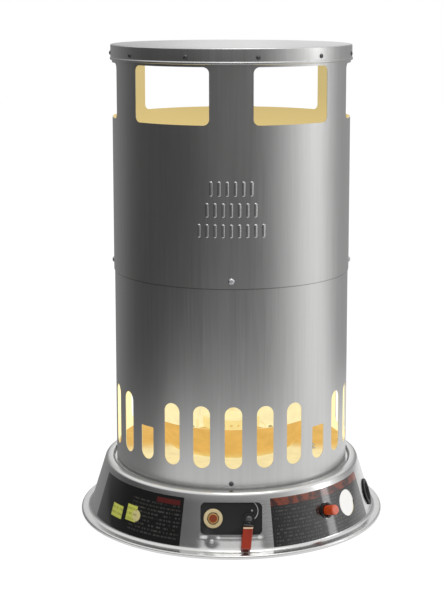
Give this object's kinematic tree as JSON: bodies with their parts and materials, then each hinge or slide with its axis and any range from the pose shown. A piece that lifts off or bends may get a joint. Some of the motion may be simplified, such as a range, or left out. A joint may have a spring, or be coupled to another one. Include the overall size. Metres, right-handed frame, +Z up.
{
  "type": "propane convection heater",
  "caption": "Upright round gas heater: slotted and windowed steel shell with a flat lid on a flared base that holds the burner, valves, push-buttons and a red heat lever.",
  "frame": {"origin": "centre of the base ring on the floor", "axes": "+Z up, front with the controls towards -Y, +X to the right seen from the front"},
  "size_m": [0.465, 0.465, 0.716],
  "materials": {
    "brushed_steel": "brushed, vertical grain",
    "spun_base": "spun, satin",
    "zinc_screw": "zinc plated",
    "hot_steel": "heat-coloured",
    "cast_burner": "as cast",
    "plain_steel": "satin",
    "brass": "turned",
    "ceramic": "glazed ceramic",
    "lead_black": "silicone lead",
    "copper": "drawn copper",
    "gas_tube": "drawn tube",
    "panel_black": "black enamel",
    "button_red": "moulded",
    "bezel_cream": "moulded",
    "lever_red": "moulded",
    "igniter_black": "moulded",
    "igniter_orange": "moulded",
    "grommet": "moulded",
    "label": "printed film"
  },
  "bodies": {
    "heater": {"lower_shell": "brushed_steel", "upper_shell": "brushed_steel", "lid": "brushed_steel", "base_skirt": "spun_base", "lid_screws": "zinc_screw", "seam_screws": "zinc_screw", "foot_screws": "zinc_screw", "deck_screws": "zinc_screw", "plate_screw": "zinc_screw", "deck_plate": "hot_steel", "flame_bowl": "hot_steel", "burner_cap": "hot_steel", "burner_head": "cast_burner", "cap_stud": "plain_steel", "cap_nut": "plain_steel", "venturi_tube": "plain_steel", "venturi_bracket": "plain_steel", "electrode": "plain_steel", "electrode_clip": "plain_steel", "thermocouple": "plain_steel", "inlet_hanger": "plain_steel", "button_spring": "plain_steel", "igniter_spring": "plain_steel", "igniter_nut": "plain_steel", "jet_holder": "brass", "jet_nut": "brass", "gas_jet": "brass", "thermocouple_nuts": "brass", "safety_valve": "brass", "control_valve": "brass", "inlet_fitting": "brass", "inlet_nut": "brass", "electrode_insulator": "ceramic", "spark_lead": "lead_black", "thermocouple_lead": "copper", "link_tube": "gas_tube", "burner_tube": "gas_tube", "feed_tube": "gas_tube", "control_plate": "panel_black", "button_bezel": "bezel_cream", "igniter_body": "igniter_black", "hose_grommet": "grommet", "left_label": "label", "right_label": "label"},
    "lever": {"lever_spindle": "plain_steel", "control_lever": "lever_red", "lever_screw": "zinc_screw"},
    "shutoff_button": {"valve_button": "button_red"},
    "spark_button": {"igniter_button": "igniter_orange"}
  },
  "joints": [
    {"name": "lever_turn", "type": "hinge", "parent": "heater", "child": "lever", "pos_m": [0.025, -0.20453, 0.051], "axis": [0, -0.9544, 0.2984], "range_deg": [0, 90]},
    {"name": "shutoff_press", "type": "slide", "parent": "heater", "child": "shutoff_button", "axis": [0, 0.9544, -0.2984], "range_m": [0, 0.005], "stiffness_N_per_m": 600, "springref_m": -0.004, "deforming": ["button_spring"]},
    {"name": "spark_press", "type": "slide", "parent": "heater", "child": "spark_button", "axis": [-0.6386, 0.7093, -0.2984], "range_m": [0, 0.006], "stiffness_N_per_m": 900, "springref_m": -0.005, "deforming": ["igniter_spring"]}
  ]
}
